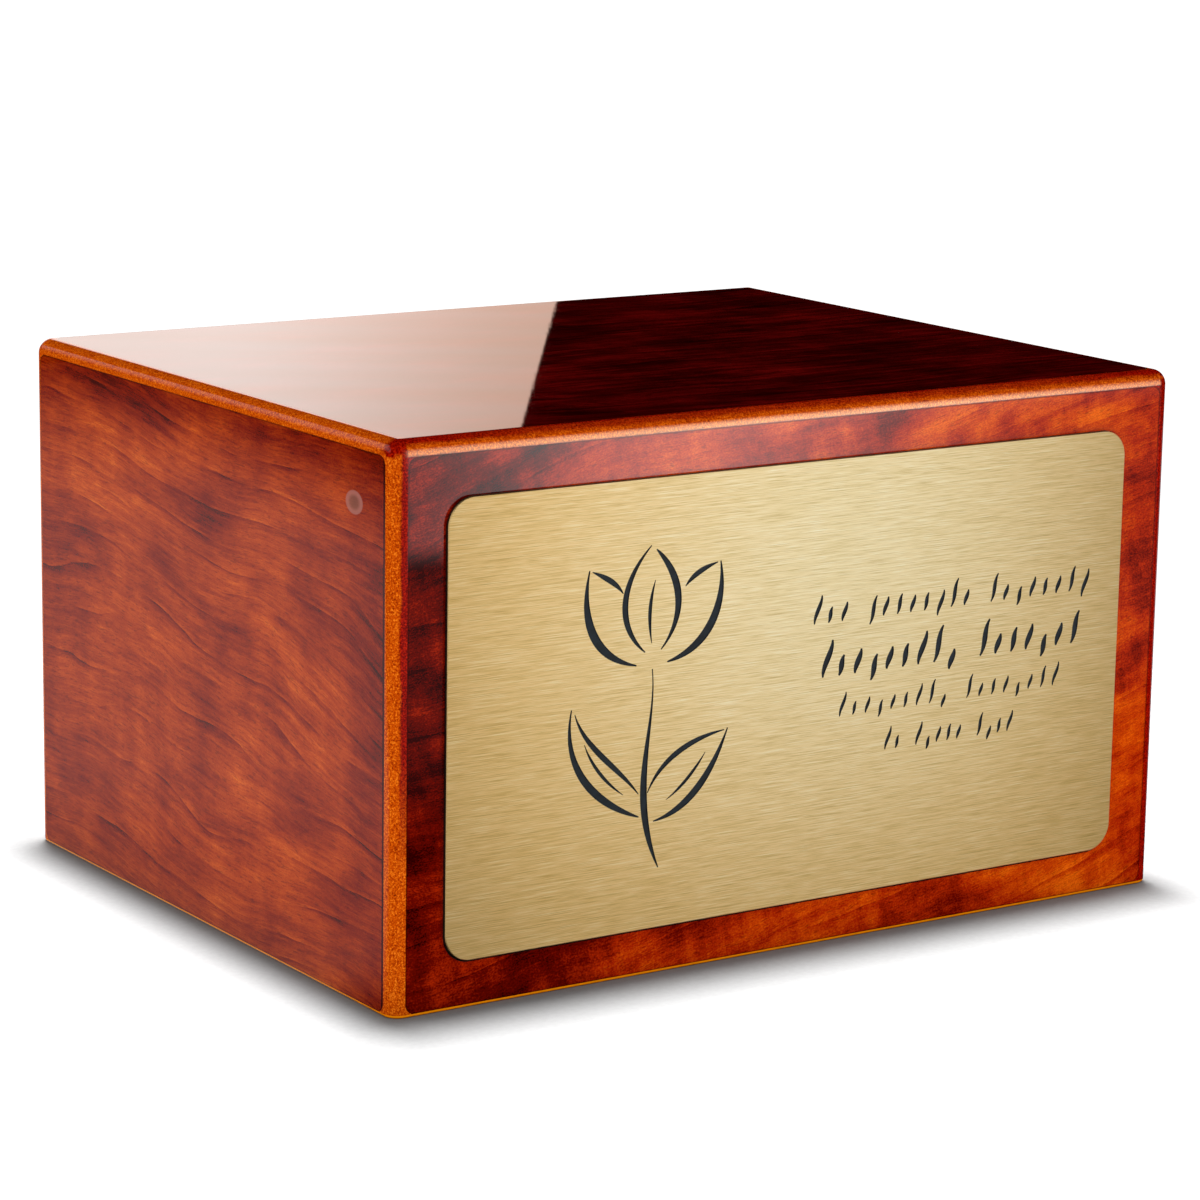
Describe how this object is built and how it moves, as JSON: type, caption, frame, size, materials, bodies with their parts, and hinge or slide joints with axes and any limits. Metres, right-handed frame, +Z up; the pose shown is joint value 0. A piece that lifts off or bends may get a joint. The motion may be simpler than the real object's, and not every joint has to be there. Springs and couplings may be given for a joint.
{
  "type": "cremation urn box",
  "caption": "Closed rectangular memorial urn box of glossy cherry-finished board with rounded edges, a brushed gold engraved plate in front and a screwed base.",
  "frame": {"origin": "middle of the case's underside, on the surface that it stands on", "axes": "+X to the viewer's right along the front, +Y from the front to the back, +Z up"},
  "size_m": [0.216, 0.1736, 0.127],
  "materials": {
    "lacquered_cherry": "MDF board with a figured cherry foil under high-gloss clear lacquer",
    "raw_fibreboard": "bare sanded fibreboard, matt",
    "zinc_screw": "zinc-plated steel",
    "brushed_gold": "gold-anodised aluminium sheet with long horizontal brushing and dark filled strokes"
  },
  "bodies": {
    "root": {"front_panel": "lacquered_cherry", "back_panel": "lacquered_cherry", "left_panel": "lacquered_cherry", "right_panel": "lacquered_cherry", "top_panel": "lacquered_cherry", "bottom_panel": "raw_fibreboard", "base_screw_1": "zinc_screw", "base_screw_2": "zinc_screw", "base_screw_3": "zinc_screw", "base_screw_4": "zinc_screw", "name_plaque": "brushed_gold"}
  },
  "joints": []
}
